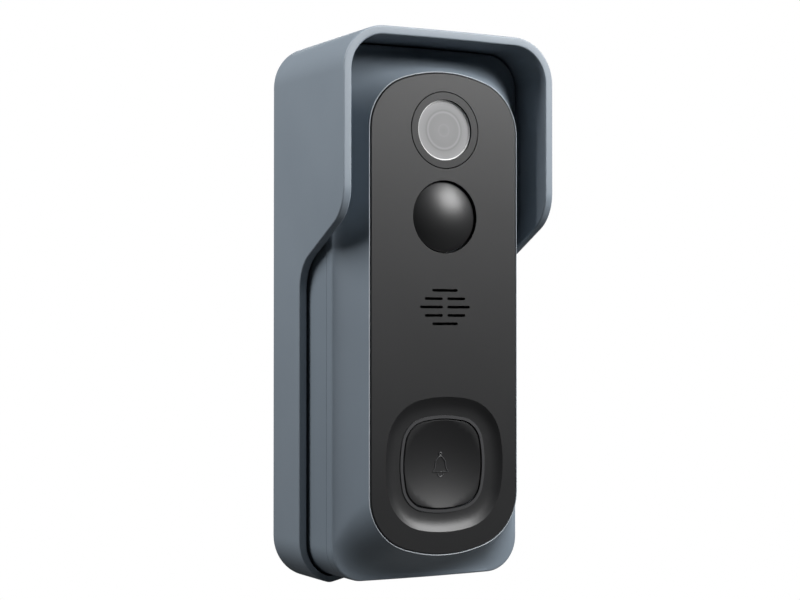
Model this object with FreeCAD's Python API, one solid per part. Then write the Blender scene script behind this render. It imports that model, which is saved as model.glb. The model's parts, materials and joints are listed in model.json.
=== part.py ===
"""Battery video doorbell in a hooded rain cover, as separate pieces, one STEP file for each.

Frame: millimetres, +Z up, +X to the right as a visitor faces the doorbell, +Y into the wall.
The origin is the centre of the rain cover's flat back face, which lies on the wall.
A place in front of the wall is given as its depth, a positive number; its Y is minus that depth.
"""

import FreeCAD, Part
import math
import os

V = FreeCAD.Vector
OUT_OF_WALL = V(0, -1, 0)
UP = V(0, 0, 1)

# ---- driving dimensions: rain cover -------------------------------------------------------------
cover_corner = 12.0
cover_wall = 2.35
cover_floor = 1.6          # the lower lip is thinner than the other walls
cover_back = 2.2
rim_round = 0.4            # rounding of the cover's rim, inside and out
hood_depth = 43.3          # the hood's front rim
lip_depth = 16.5           # the shallow rim round the lower part
hood_front_low = 25.6      # height at which the sloping edge would meet the hood's front rim
hood_back_low = 11.5       # and the shallow rim
hood_sweep = 10.7          # radius of the two bends in that edge
notch_mouth = 24.0         # half width of the notch in the bottom lip, at its rim
notch_root = 11.0          # and at its back
notch_back = 5.2
notch_bend = 7.0           # bend where the lip's rim turns into the notch
notch_root_bend = 3.0
notch_tall = 7.5           # the notch's cut also clears the cover's round corners
tongue_half = 6.2          # tongue in the notch, which the locking screw clamps
tongue_depth = 8.4
tongue_lift = 0.3          # the tongue's underside is this far above the cover's
locking_head_tall = 0.6
locking_head = 2.5         # radius
locking_shaft = 1.3
locking_clear = 0.3        # round the locking screw, where it passes the cover

# ---- driving dimensions: doorbell body ----------------------------------------------------------
body_width = 57.1
body_height = 143.05
side_gap = 1.0             # between the body and the cover's side walls
end_gap = 0.5              # above and below the body
body_back = 4.0
body_corner = 9.2
body_wall = 2.0
seam_chamfer = 0.25        # on both housings, so that the seam shows as a fine groove
edge_round = 0.6           # where the side turns into the flare
seam_depth = 26.5          # where the rear and front housings meet
edge_depth = 29.5          # where the flared front begins
plate_depth = 39.8         # front of the black face plate
plate_thick = 2.0
plate_side_gap = 6.25      # from the body's side to the plate's
plate_end_gap_top = 7.9    # from the body's top edge to the plate's
plate_end_gap_low = 7.25
plate_corner = 14.4
plate_crown = 38.0         # radius of the plate's arched ends
plate_bevel = 0.35
plate_rim = 0.35           # thin land of the housing round the plate
plate_proud = 0.4          # the plate stands this far out of that land
flare_power = 1.9          # how hollow the flared front is; 1 would be straight
flat_crown = 1500.0        # near enough straight, so that every outline has the same eight edges
front_wall = 2.0
boss_reach = 0.8           # the screw bosses end this far in front of the flare's start
housing_screw = 1.2        # radius of the long screws that join the housings
housing_screw_head = 2.1
housing_screw_floor = 18.3 # depth at which their heads start
small_screw = 1.0          # radius of the bracket's and the board's screws
bracket_screw_head = 2.0
board_screw_head = 1.9
board_screw_tip = 20.0
clear = 0.1                # general clearance between fixed pieces
thread_clear = 0.05

# ---- driving dimensions: things on the face -----------------------------------------------------
camera_height = 48.0
camera_ring = 10.25        # outer radius of the camera's bezel
window_radius = 8.1
window_recess = 0.7
window_thick = 1.1
pir_height = 24.9
pir_radius = 9.3
pir_bulge = 2.9
pir_gap = 0.45
grille_height = 0.9
grille_pitch = 2.22
slot_tall = 0.75
slot_rows = [(2, 0.0, 3.9), (1, 0.7, 6.2), (0, 0.7, 7.6), (-1, 0.7, 6.2), (-2, 0.0, 3.9)]
speaker_radius = 10.0
speaker_back = 31.5
speaker_wall = 0.8
magnet_radius = 5.5
magnet_back = 29.0
cone_back = 33.0
button_height = -40.8
button_half = 11.8
button_corner = 6.4
button_crown = 30.0
button_gap = 0.3
button_travel = 0.6
button_dish = 1.5
bezel_width = 0.8
button_wall = 1.6
flange_width = 0.9
dish_half = 17.9
dish_sink = 1.3

# ---- driving dimensions: inside -----------------------------------------------------------------
cell_radius = 9.2
cell_length = 65.0
cell_low = -55.0
cell_pitch = 18.7
board_thick = 1.6
board_side_gap = 3.05      # from the rear housing's inner wall to the main board
board_low = -57.0
board_high = 34.0
board_gap = 0.3            # behind the main board, to the seam plane
wall_hole_radius = 2.2
wall_hole_spacing = 76.0
bracket_thick = 1.5
peg_radius = 2.0
locking_screw_depth = 6.2
port_depth_low = 10.8      # rear edge of the port cover, which a fingernail lifts
port_depth_high = 19.0     # front edge, where it hinges
port_half = 16.0
port_thick = 1.15

# ---- worked out ---------------------------------------------------------------------------------
body_half = body_width / 2
half_width = body_half + side_gap + cover_wall
half_height = (body_height + 2 * end_gap + cover_wall + cover_floor) / 2
body_top = half_height - cover_wall - end_gap
body_low = cover_floor + end_gap - half_height
plate_half = body_half - plate_side_gap
plate_top = body_top - plate_end_gap_top
plate_low = body_low + plate_end_gap_low
plate_seat = plate_depth - plate_thick
wall_inside = plate_seat - front_wall
rim_depth = plate_depth - plate_proud
inner_low = body_low + body_wall
inner_top = body_top - body_wall
inner_half = body_half - body_wall
cavity_back = body_back + body_wall
board_half = inner_half - board_side_gap
board_back = seam_depth - board_gap
board_front = board_back + board_thick
bracket_front = cover_back + bracket_thick
cell_depth = cavity_back + cell_radius + 0.6
post_x = body_half - 7.0
post_z = body_top - 9.6
board_post_x = board_half - 1.85
board_post_z = (board_low + 5.0, board_high - 4.0)
peg_places = [(x, z) for z in (board_high + 2.0, -post_z) for x in (-12.5, 12.5)]
camera_board_depth = 17.0
barrel_radius = 6.0
glass_radius = 4.65
shutter_travel = 4.4       # the night filter's blade moves this far
io_depth = 12.0
io_thick = 1.2
io_front = io_depth + io_thick
camera_board_front = camera_board_depth + 1.0
holder_roof = camera_board_front + 6.0
shutter_low = camera_board_front + 1.5
bezel_top = plate_depth - dish_sink + 0.2
cap_top = bezel_top - 0.1
flange_back = wall_inside - 1.2
stem_tip = flange_back - 1.6
plunger_top = stem_tip - 0.3
usb_x = 4.6
reset_x = 12.6
mic_x = -10.0
mic_depth = 22.4


# ---- shapes -------------------------------------------------------------------------------------
def at(x, depth, z):
    return V(x, -depth, z)


def arc_through(a, b, c):
    return Part.Arc(a, b, c).toShape()


def arched(half, low, high, corner, crown, depth):
    """Closed outline facing the visitor: straight sides, four round corners, arched top and bottom."""
    across = half - corner
    up = math.sqrt((crown - corner) ** 2 - across ** 2)
    lean = math.atan2(across, up)
    middle = (math.pi / 2 + lean) / 2
    edges = []

    def corner_arc(side, end, end_z):
        cz = end_z + end * (up - crown)
        points = []
        for angle in (math.pi / 2, middle, lean):
            x = across + corner * math.sin(angle)
            z = cz + end * corner * math.cos(angle)
            points.append(at(side * x, depth, z))
        return points

    right_top, left_top = corner_arc(1, 1, high), corner_arc(-1, 1, high)
    right_low, left_low = corner_arc(1, -1, low), corner_arc(-1, -1, low)
    edges.append(Part.LineSegment(left_low[0], left_top[0]).toShape())
    edges.append(arc_through(*left_top))
    edges.append(arc_through(left_top[2], at(0, depth, high), right_top[2]))
    edges.append(arc_through(*reversed(right_top)))
    edges.append(Part.LineSegment(right_top[0], right_low[0]).toShape())
    edges.append(arc_through(*right_low))
    edges.append(arc_through(right_low[2], at(0, depth, low), left_low[2]))
    edges.append(arc_through(*reversed(left_low)))
    return Part.Wire(edges)


def squircle(half, depth, grow=0.0):
    """Closed outline of the button, grown by a parallel offset, with all four sides bowed out."""
    extra = half - button_half + grow
    r, big = button_corner + extra, button_crown + extra
    k = button_half - button_crown
    c = (k + math.sqrt(k * k - 2 * (k * k - (big - r) ** 2))) / 2
    lean = math.atan2(c, c - k)
    ends = []
    for turn in range(4):
        cosine, sine = math.cos(turn * math.pi / 2), math.sin(turn * math.pi / 2)
        local = [(k + big * math.cos(a), big * math.sin(a)) for a in (-lean, 0, lean)]
        diagonal = c + r * math.sqrt(0.5)
        local.append((diagonal, diagonal))
        ends.append([
            at(x * cosine - z * sine, depth, button_height + x * sine + z * cosine) for x, z in local
        ])
    edges = []
    for turn in range(4):
        low, middle, high, corner = ends[turn]
        edges.append(arc_through(low, middle, high))
        edges.append(arc_through(high, corner, ends[(turn + 1) % 4][0]))
    return Part.Wire(edges)


def slab(wire, thickness):
    """The solid from a flat outline, out of the wall."""
    return Part.Face(wire).extrude(OUT_OF_WALL * thickness)


def box(x0, x1, d0, d1, z0, z1):
    return Part.makeBox(x1 - x0, d1 - d0, z1 - z0, V(x0, -d1, z0))


def disc(x, z, radius, d0, d1):
    return Part.makeCylinder(radius, d1 - d0, at(x, d0, z), OUT_OF_WALL)


def ring(x, z, outer, inner, d0, d1):
    return disc(x, z, outer, d0, d1).cut(disc(x, z, inner, d0 - 1, d1 + 1))


def upright(x, depth, radius, z0, z1):
    return Part.makeCylinder(radius, z1 - z0, at(x, depth, z0), UP)


def rounded_box(x0, x1, d0, d1, z0, z1, radius):
    """A plate whose corners are round as the visitor sees it."""
    made = box(x0, x1, d0, d1, z0, z1)
    return made.makeFillet(radius, [e for e in made.Edges if abs(e.tangentAt(e.FirstParameter).y) > 0.99])


def rounded_loop(points, radii, place):
    """A closed wire through flat points with a bend of its own radius at each; place puts (u, v) in space."""
    count = len(points)
    starts, middles, ends = [], [], []
    for i in range(count):
        before, here, after = V(*points[i - 1], 0), V(*points[i], 0), V(*points[(i + 1) % count], 0)
        back, forth = (before - here).normalize(), (after - here).normalize()
        if radii[i] == 0:
            starts.append(here)
            middles.append(None)
            ends.append(here)
            continue
        half_angle = back.getAngle(forth) / 2
        reach = radii[i] / math.tan(half_angle)
        to_centre = (back + forth).normalize()
        starts.append(here + back * reach)
        middles.append(here + to_centre * (radii[i] / math.sin(half_angle) - radii[i]))
        ends.append(here + forth * reach)
    edges = []
    for i in range(count):
        if middles[i] is not None:
            edges.append(arc_through(place(starts[i]), place(middles[i]), place(ends[i])))
        following = starts[(i + 1) % count]
        if (following - ends[i]).Length > 1e-6:
            edges.append(Part.LineSegment(place(ends[i]), place(following)).toShape())
    return Part.Wire(edges)


def edges_at(shape, depth):
    """The edges that lie wholly in the plane at this depth."""
    return [e for e in shape.Edges
            if abs(e.BoundBox.YMin + depth) < 1e-3 and abs(e.BoundBox.YMax + depth) < 1e-3]


def all_of(shapes):
    """Several solids that never touch, as one group."""
    return Part.Compound(shapes)


def fused(first, *others):
    return first.fuse(list(others)).removeSplitter()


def screw(x, z, head_radius, head_d0, head_d1, shaft_radius, tip_depth):
    """A pan head screw along Y. The head lies between two depths and the shaft reaches the tip's depth."""
    shaft_d0, shaft_d1 = min(head_d1, tip_depth), max(head_d0, tip_depth)
    head = disc(x, z, head_radius, head_d0, head_d1)
    slot = box(x - 0.3, x + 0.3, head_d0 - 1, head_d1 + 1, z - head_radius * 0.7, z + head_radius * 0.7)
    outside = box(x - 9, x + 9, head_d0 - 1, head_d0 + 0.5, z - 9, z + 9)
    if tip_depth < head_d0:
        outside = box(x - 9, x + 9, head_d1 - 0.5, head_d1 + 1, z - 9, z + 9)
    return fused(head.cut(slot.common(outside)), disc(x, z, shaft_radius, shaft_d0, shaft_d1))


# ---- rain cover and wall bracket ----------------------------------------------------------------
def cover_outline(wall, floor, depth):
    return arched(half_width - wall, floor - half_height, half_height - wall,
                  cover_corner - wall, flat_crown, depth)


def wall_holes(d0, d1):
    """The two wall screw holes, sunk at the front for flat screw heads."""
    holes = []
    for z in (-wall_hole_spacing / 2, wall_hole_spacing / 2):
        holes.append(disc(0, z, wall_hole_radius, d0, d1))
        sink = 2.0
        holes.append(Part.makeCone(wall_hole_radius, wall_hole_radius + sink, sink,
                                   at(0, bracket_front - sink, z), OUT_OF_WALL))
    return holes


def rain_cover():
    shell = slab(cover_outline(0, 0, 0), hood_depth)
    shell = shell.cut(slab(cover_outline(cover_wall, cover_floor, cover_back), hood_depth))
    beyond = hood_depth + 20
    below = -half_height - 5
    side_profile = rounded_loop(
        [(lip_depth, below), (lip_depth, hood_back_low), (hood_depth, hood_front_low),
         (hood_depth, half_height / 2), (beyond, half_height / 2), (beyond, below)],
        [0, hood_sweep, hood_sweep, 0, 0, 0],
        lambda p: at(-half_width - 1, p.x, p.y))
    shell = shell.cut(Part.Face(side_profile).extrude(V(2 * half_width + 2, 0, 0)))
    rim = [e for e in shell.Edges
           if lip_depth - 0.5 < -e.CenterOfMass.y and e.BoundBox.YMax < 0.01 - lip_depth]
    shell = shell.makeFillet(rim_round, rim)
    notch = rounded_loop(
        [(-half_width, lip_depth), (-notch_mouth, lip_depth), (-notch_root, notch_back),
         (-tongue_half, notch_back), (-tongue_half, tongue_depth), (tongue_half, tongue_depth),
         (tongue_half, notch_back), (notch_root, notch_back), (notch_mouth, lip_depth),
         (half_width, lip_depth), (half_width, lip_depth + 9), (-half_width, lip_depth + 9)],
        [0, notch_bend, notch_root_bend, 0.8, 1.2, 1.2, 0.8, notch_root_bend, notch_bend, 0, 0, 0],
        lambda p: at(p.x, p.y, -half_height - 1))
    shell = shell.cut(Part.Face(notch).extrude(UP * notch_tall))
    shell = shell.cut(box(-notch_root, notch_root, notch_back, tongue_depth + 1,
                          -half_height - 1, -half_height + tongue_lift))
    for screw_radius, z1 in ((locking_head, locking_head_top()), (locking_shaft, body_low)):
        radius, z0 = screw_radius + locking_clear, -half_height - 1
        shell = shell.cut(upright(0, locking_screw_depth, radius, z0, z1))
        shell = shell.cut(box(-radius, radius, locking_screw_depth, tongue_depth + 1, z0, z1))
    for hole in wall_holes(-1, cover_back + 1):
        shell = shell.cut(hole)
    for x, z in bracket_screw_places():
        shell = shell.cut(disc(x, z, small_screw + thread_clear, 0.5, cover_back + 1))
    return shell


def locking_head_top():
    return -half_height + tongue_lift + locking_head_tall


def bracket_screw_places():
    return [(x, z) for z in (-20.0, 20.0) for x in (-17.0, 17.0)]


def mounting_bracket():
    low, high = -post_z - 4.5, board_high + 7.0
    plate = rounded_box(-21.5, 21.5, cover_back, bracket_front, low, high, 5.0)
    for hole in wall_holes(-1, bracket_front + 1):
        plate = plate.cut(hole)
    for x, z in bracket_screw_places():
        plate = plate.cut(disc(x, z, small_screw + thread_clear, cover_back - 1, bracket_front + 1))
        plate = plate.cut(disc(x, z, bracket_screw_head + clear, bracket_front - 0.9, bracket_front + 1))
    pegs = []
    for x, z in peg_places:
        peg = disc(x, z, peg_radius, bracket_front, body_back + 2.6)
        pegs.append(peg.makeChamfer(0.4, [peg.Edges[i] for i in range(3) if peg.Edges[i].Closed
                                          and peg.Edges[i].CenterOfMass.y < -bracket_front - 1]))
    return fused(plate, *pegs)


def bracket_screws():
    return all_of([
        screw(x, z, bracket_screw_head, bracket_front - 0.85, bracket_front - 0.05, small_screw, 0.6)
        for x, z in bracket_screw_places()
    ])


# ---- housings -----------------------------------------------------------------------------------
def body_outline(inset, depth):
    return arched(body_half - inset, body_low + inset, body_top - inset,
                  body_corner - inset, flat_crown, depth)


def plate_outline(grow, depth):
    return arched(plate_half + grow, plate_low - grow, plate_top + grow,
                  plate_corner + grow, plate_crown + grow, depth)


def flare():
    """The front housing's outside: straight sides, then a hollow flare up to the plate's outline."""
    sections = []
    steps = 6
    for i in range(steps + 1):
        s = i / steps

        def mix(a, b):
            return a + (b - a) * s

        bend = mix(1 / flat_crown, 1 / (plate_crown + plate_rim))
        sections.append(arched(
            mix(body_half, plate_half + plate_rim),
            mix(body_low, plate_low - plate_rim),
            mix(body_top, plate_top + plate_rim),
            mix(body_corner, plate_corner + plate_rim),
            1 / bend,
            edge_depth + (rim_depth - edge_depth) * s ** flare_power))
    base = slab(body_outline(0, seam_depth), edge_depth - seam_depth)
    base = base.makeChamfer(seam_chamfer, edges_at(base, seam_depth))
    solid = fused(base, Part.makeLoft(sections, True, False))
    return solid.makeFillet(edge_round, edges_at(solid, edge_depth))


def rear_housing():
    shell = slab(body_outline(0, body_back), seam_depth - body_back)
    back_edges = [e for e in shell.Edges if abs(e.CenterOfMass.y + body_back) < 1e-3]
    shell = shell.makeChamfer(0.8, back_edges)
    shell = shell.makeChamfer(seam_chamfer, edges_at(shell, seam_depth))
    shell = shell.cut(slab(body_outline(body_wall, cavity_back), seam_depth))
    shell = shell.cut(seal_ring(0.05))
    posts, holes = [], []
    for x, z in housing_post_places():
        posts.append(disc(x, z, 3.3, cavity_back - 0.5, seam_depth))
        holes.append(disc(x, z, 2.4, body_back - 1, 20.0))
        holes.append(disc(x, z, housing_screw + 0.15, housing_screw_floor + 0.7, seam_depth + 1))
    for x, z in board_post_places():
        posts.append(disc(x, z, 2.3, cavity_back - 0.5, board_back))
        holes.append(disc(x, z, small_screw + thread_clear, board_screw_tip - 0.5, board_back + 1))
    for x, z in peg_places:
        posts.append(disc(x, z, peg_radius + 1.6, cavity_back - 0.5, body_back + 4.4))
        holes.append(disc(x, z, peg_radius + 0.25, body_back - 1, body_back + 3.2))
    for x, z in peg_places[2:]:
        posts.append(disc(x, z, 1.8, body_back + 4, io_depth))
    for x in (-9, 9):
        for z in (camera_height - 9, camera_height + 9):
            posts.append(disc(x, z, 1.6, cavity_back - 0.5, camera_board_depth))
    lock = upright(0, locking_screw_depth, 3.2, inner_low - 0.5, -63.0)
    posts.append(lock.common(box(-9, 9, body_back, 20, -80, 0)))
    holes.append(upright(0, locking_screw_depth, locking_shaft + thread_clear, body_low - 1, -64.0))
    holes += port_openings()
    holes.append(upright(mic_x, mic_depth, 0.6, body_low - 1, inner_low + 1))
    shell = fused(shell, *posts)
    return shell.cut(Part.Compound(holes))


def port_openings():
    """The recess that the port cover lies in, and the holes behind it."""
    recess = box(-port_half - 0.2, port_half + 0.2, port_depth_low - 0.2, port_depth_high + 0.2,
                 body_low - 1, body_low + port_thick + 0.15)
    usb = box(usb_x - 4.7, usb_x + 4.7, io_front - 0.3, io_front + 3.7, body_low, inner_low + 1)
    card = box(-14.6, -2.8, io_front + 0.2, io_front + 1.5, body_low, inner_low + 1)
    reset = upright(reset_x, io_front + 1.4, 1.3, body_low, inner_low + 1)
    return [recess, usb, card, reset]


def housing_post_places():
    return [(x, z) for z in (-post_z, post_z) for x in (-post_x, post_x)]


def board_post_places():
    return [(x, z) for z in board_post_z for x in (-board_post_x, board_post_x)]


def front_housing():
    shell = flare()
    sections = [body_outline(body_wall, seam_depth - 1), plate_outline(-0.6, wall_inside)]
    cavity = Part.makeLoft(sections, True, True)
    bosses = [disc(x, z, 2.9, seam_depth, edge_depth + boss_reach) for x, z in housing_post_places()]
    shell = fused(shell.cut(cavity), *bosses)
    holes = [slab(plate_outline(0.05, plate_seat), 9)]
    holes.append(disc(0, camera_height, camera_ring + 2 * clear, wall_inside - 1, plate_seat + 1))
    holes.append(disc(0, pir_height, pir_radius + pir_gap, wall_inside - 1, plate_seat + 1))
    holes.append(disc(0, grille_height, speaker_radius - 1.4, wall_inside - 1, plate_seat + 1))
    holes.append(slab(squircle(button_half, wall_inside - 1, button_gap), front_wall + 2))
    for x, z in housing_post_places():
        holes.append(disc(x, z, housing_screw + thread_clear, seam_depth - 1, edge_depth + boss_reach - 0.3))
    return shell.cut(Part.Compound(holes))


def seal_ring(grow=0.0):
    """Rubber cord in a groove of the rear housing's rim."""
    outer = slab(body_outline(0.55 - grow, seam_depth - 0.9 - grow), 0.9 + grow)
    return outer.cut(slab(body_outline(1.35 + grow, seam_depth - 2), 4))


def housing_screws():
    tip = edge_depth + boss_reach - 0.5
    floor = housing_screw_floor
    return all_of([
        screw(x, z, housing_screw_head, floor, floor + 1.7, housing_screw, tip)
        for x, z in housing_post_places()
    ])


# ---- face plate and what sits in it -------------------------------------------------------------
def grille_slots(d0, d1):
    """Rounded slots in five rows; each row's bars run from its inner to its outer half length."""
    slots = []
    round_end = slot_tall / 2
    for row, inner, outer in slot_rows:
        z = grille_height + row * grille_pitch
        spans = [(-outer, outer)] if inner == 0 else [(-outer, -inner), (inner, outer)]
        for x0, x1 in spans:
            slots.append(box(x0 + round_end, x1 - round_end, d0, d1, z - round_end, z + round_end))
            slots.append(disc(x0 + round_end, z, round_end, d0, d1))
            slots.append(disc(x1 - round_end, z, round_end, d0, d1))
    return slots


def button_dish_cutter():
    """The soft hollow round the button, from the plate's face down to the bezel."""
    bezel_out = button_half + button_gap + bezel_width
    shares = [(-0.1, 1.0), (0.12, 0.99), (0.38, 0.9), (0.66, 0.66), (0.88, 0.27), (1.0, 0.0)]
    wires = []
    for share, sink in shares:
        half = bezel_out + (dish_half - bezel_out) * share
        wires.append(squircle(half, plate_depth - dish_sink * sink))
    return fused(Part.makeLoft(wires, True, False), slab(wires[-1], 2))


def face_plate():
    plate = slab(plate_outline(0, plate_seat), plate_thick)
    rim = [e for e in plate.Edges if abs(e.CenterOfMass.y + plate_depth) < 1e-3]
    plate = plate.makeChamfer(plate_bevel, rim)
    plate = plate.cut(button_dish_cutter())
    holes = [disc(0, camera_height, camera_ring + clear, plate_seat - 1, plate_depth + 1)]
    holes.append(disc(0, pir_height, pir_radius + pir_gap, plate_seat - 1, plate_depth + 1))
    bezel_out = button_half + button_gap + bezel_width
    holes.append(slab(squircle(bezel_out, plate_seat - 1, 0.02), plate_thick + 2))
    plate = plate.cut(Part.Compound(holes))
    for cutter in grille_slots(plate_seat - 1, plate_depth + 1):
        plate = plate.cut(cutter)
    return plate


def camera_bezel():
    glass_seat = plate_depth - window_recess - window_thick
    body = disc(0, camera_height, camera_ring, wall_inside - 0.9, plate_depth)
    front = [e for e in body.Edges if abs(e.CenterOfMass.y + plate_depth) < 1e-3]
    body = body.makeChamfer(0.2, front)
    body = fused(body, disc(0, camera_height, camera_ring + 1.3, wall_inside - 1.0, wall_inside - 0.1))
    body = body.cut(disc(0, camera_height, window_radius - 0.7, 0, plate_depth + 1))
    return body.cut(disc(0, camera_height, window_radius + 0.05, glass_seat, plate_depth + 1))


def camera_window():
    glass_seat = plate_depth - window_recess - window_thick
    glass = disc(0, camera_height, window_radius, glass_seat, glass_seat + window_thick)
    front = [e for e in glass.Edges if abs(e.CenterOfMass.y + glass_seat + window_thick) < 1e-3]
    return glass.makeChamfer(0.25, front)


def cap(radius, height, base_depth):
    """A spherical cap standing on a disc of this radius."""
    sphere_radius = (radius ** 2 + height ** 2) / (2 * height)
    ball = Part.makeSphere(sphere_radius)
    ball.translate(at(0, base_depth + height - sphere_radius, 0))
    return ball.common(box(-99, 99, base_depth, base_depth + 99, -99, 99))


def on_axis(shape, z):
    shape.translate(V(0, 0, z))
    return shape


def pir_lens():
    base = plate_depth - 0.8
    wall = 0.8
    outer = fused(disc(0, 0, pir_radius, wall_inside - 0.3, base), cap(pir_radius, pir_bulge, base),
                  disc(0, 0, pir_radius + 1.6, wall_inside - 1.1, wall_inside - 0.1))
    inner = fused(disc(0, 0, pir_radius - wall, wall_inside - 2, base),
                  cap(pir_radius - wall, pir_bulge - 0.6, base))
    return on_axis(outer.cut(inner), pir_height)


def pir_sensor():
    can = fused(disc(0, pir_height, 4.9, board_front, board_front + 0.5),
                disc(0, pir_height, 4.55, board_front, board_front + 4.4))
    return can.cut(box(-2.0, 2.0, board_front + 4.1, board_front + 5, pir_height - 1.5, pir_height + 1.5))


# ---- camera -------------------------------------------------------------------------------------
def camera_board():
    return rounded_box(-11, 11, camera_board_depth, camera_board_front,
                       camera_height - 11, camera_height + 11, 1.5)


def camera_block(half, d0, d1, middle=0.0):
    """A square block round the camera's axis, or beside it."""
    return box(middle - half, middle + half, d0, d1, camera_height - half, camera_height + half)


def image_sensor():
    return camera_block(3.5, camera_board_front, camera_board_front + 1.2)


def lens_holder():
    block = rounded_box(-9, 9, camera_board_front, holder_roof, camera_height - 9, camera_height + 9, 1.5)
    block = fused(block, disc(0, camera_height, barrel_radius + 1.4, holder_roof - 1, holder_roof + 6))
    block = block.cut(camera_block(7.5, camera_board_front - 1, holder_roof - 1.5))
    return block.cut(disc(0, camera_height, barrel_radius + thread_clear, holder_roof - 3, holder_roof + 9))


def lens_barrel():
    front = wall_inside + 0.2
    body = fused(disc(0, camera_height, barrel_radius, holder_roof, front),
                 disc(0, camera_height, barrel_radius + 1.0, front - 2.2, front))
    body = body.cut(disc(0, camera_height, glass_radius + 0.05, holder_roof + 1, front + 1))
    body = body.cut(disc(0, camera_height, 3.4, holder_roof - 1, front))
    ledge = ring(0, camera_height, glass_radius + 0.05, 3.6, holder_roof + 5, holder_roof + 8)
    return fused(body, ledge)


def front_lens():
    base = holder_roof + 8
    glass = fused(disc(0, 0, glass_radius, base, base + 1.6), cap(glass_radius, 1.9, base + 1.6))
    return on_axis(glass, camera_height)


def rear_lens():
    return disc(0, camera_height, glass_radius, holder_roof + 3.0, holder_roof + 5.0)


def ir_cut_frame():
    body = camera_block(7.3, shutter_low, shutter_low + 2.8)
    body = body.cut(box(-6.9, 6.9, shutter_low + 0.9, shutter_low + 1.9,
                        camera_height - 3.9, camera_height + 3.9))
    return body.cut(disc(0, camera_height, 2.1, shutter_low - 1, shutter_low + 4))


def shutter_windows():
    return [-shutter_travel / 2 + shift for shift in (-shutter_travel / 2, shutter_travel / 2)]


def ir_cut_blade():
    middle = -shutter_travel / 2
    blade = box(middle - 4.5, middle + 4.5, shutter_low + 1.05, shutter_low + 1.75,
                camera_height - 3.7, camera_height + 3.7)
    for x in shutter_windows():
        blade = blade.cut(disc(x, camera_height, 2.05, shutter_low, shutter_low + 3))
    return blade


def ir_cut_glass():
    return all_of([
        disc(x, camera_height, 2.0, shutter_low + 1.15, shutter_low + 1.65) for x in shutter_windows()
    ])


def ir_led_board():
    return ring(0, camera_height, 12.0, barrel_radius + clear, wall_inside - 3.6, wall_inside - 2.4)


def ir_leds():
    leds = []
    count, circle, half_long, half_wide = 8, 9.7, 1.2, 1.1
    for i in range(count):
        led = box(circle - half_long, circle + half_long, wall_inside - 2.4, wall_inside - 1.2,
                  -half_wide, half_wide)
        led.rotate(V(0, 0, 0), V(0, 1, 0), -360 / count * (i + 0.5))
        leds.append(on_axis(led, camera_height))
    return all_of(leds)


def camera_flex():
    """The flat ribbon from the camera board to the back of the main board."""
    thick = 0.3
    back = camera_board_depth - thick
    low = board_high - 8
    profile = [(back, camera_height), (back + thick, camera_height), (back + thick, low + thick),
               (board_back, low + thick), (board_back, low), (back, low)]
    wire = Part.makePolygon([at(-4, d, z) for d, z in profile + profile[:1]])
    return Part.Face(wire).extrude(V(8, 0, 0))


# ---- speaker and microphone ---------------------------------------------------------------------
def speaker_frame():
    cup = disc(0, grille_height, speaker_radius, speaker_back, wall_inside - 0.6)
    cup = cup.cut(disc(0, grille_height, speaker_radius - speaker_wall,
                       speaker_back + speaker_wall, wall_inside + 1))
    return cup.cut(disc(0, grille_height, magnet_radius + clear, speaker_back - 0.5, cone_back))


def speaker_magnet():
    return disc(0, grille_height, magnet_radius, magnet_back, cone_back - speaker_wall)


def speaker_cone():
    radius = speaker_radius - 0.9
    shell = cap(radius, 1.4, cone_back).cut(cap(radius - 0.05, 1.15, cone_back - 0.05))
    return on_axis(shell, grille_height)


def speaker_gasket():
    return ring(0, grille_height, speaker_radius, speaker_radius - 1.3, wall_inside - 0.6, wall_inside)


def grille_mesh():
    return disc(0, grille_height, speaker_radius - 1.5, plate_seat - 0.5, plate_seat - 0.05)


def mic_boot():
    boot = upright(mic_x, mic_depth, 2.8, inner_low + clear, inner_low + 3.0)
    boot = boot.cut(upright(mic_x, mic_depth, 2.0, inner_low + 1.0, inner_low + 4))
    return boot.cut(upright(mic_x, mic_depth, 0.7, inner_low - 1, inner_low + 2))


def microphone():
    return upright(mic_x, mic_depth, 1.95, inner_low + 1.0, inner_low + 2.6)


# ---- electronics --------------------------------------------------------------------------------
def main_board():
    board = rounded_box(-board_half, board_half, board_back, board_front, board_low, board_high, 3.0)
    for x, z in board_post_places():
        board = board.cut(disc(x, z, 1.2, board_back - 1, board_front + 1))
    return board


def board_screws():
    return all_of([
        screw(x, z, board_screw_head, board_front, board_front + 1.3, small_screw, board_screw_tip)
        for x, z in board_post_places()
    ])


def soc_shield():
    return rounded_box(-12, 12, board_front, board_front + 2.0, -27.5, -11.0, 1.0)


def wifi_module():
    return box(-19.5, -7.5, board_front, board_front + 1.9, 12.0, 25.5)


def antenna():
    return box(-16, 16, 10, 16, inner_top - 0.6, inner_top - 0.3)


def cell_places():
    return [-cell_pitch / 2, cell_pitch / 2]


def battery_cells():
    cells = []
    top = cell_low + cell_length
    for x in cell_places():
        body = upright(x, cell_depth, cell_radius, cell_low, top - 1.2)
        cells.append(fused(body, upright(x, cell_depth, 3.2, top - 2, top)))
    return all_of(cells)


def battery_tray():
    wall = 0.5
    half = cell_pitch / 2 + cell_radius + wall
    low, high = cell_low - 1.9, cell_low + cell_length + 1.9
    tray = box(-half, half, cavity_back, cell_depth + 1.0, low, high)
    for x in cell_places():
        tray = tray.cut(upright(x, cell_depth, cell_radius + clear, low + 1.0, high - 1.0))
    middle = box(-cell_pitch / 2, cell_pitch / 2, cell_depth - 2.5, cell_depth + 2, low + 1.0, high - 1.0)
    return tray.cut(middle)


def battery_contacts():
    contacts = []
    for x in cell_places():
        for z in (cell_low - 0.7, cell_low + cell_length + 0.2):
            contacts.append(upright(x, cell_depth, 3.0, z, z + 0.5))
    return all_of(contacts)


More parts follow.
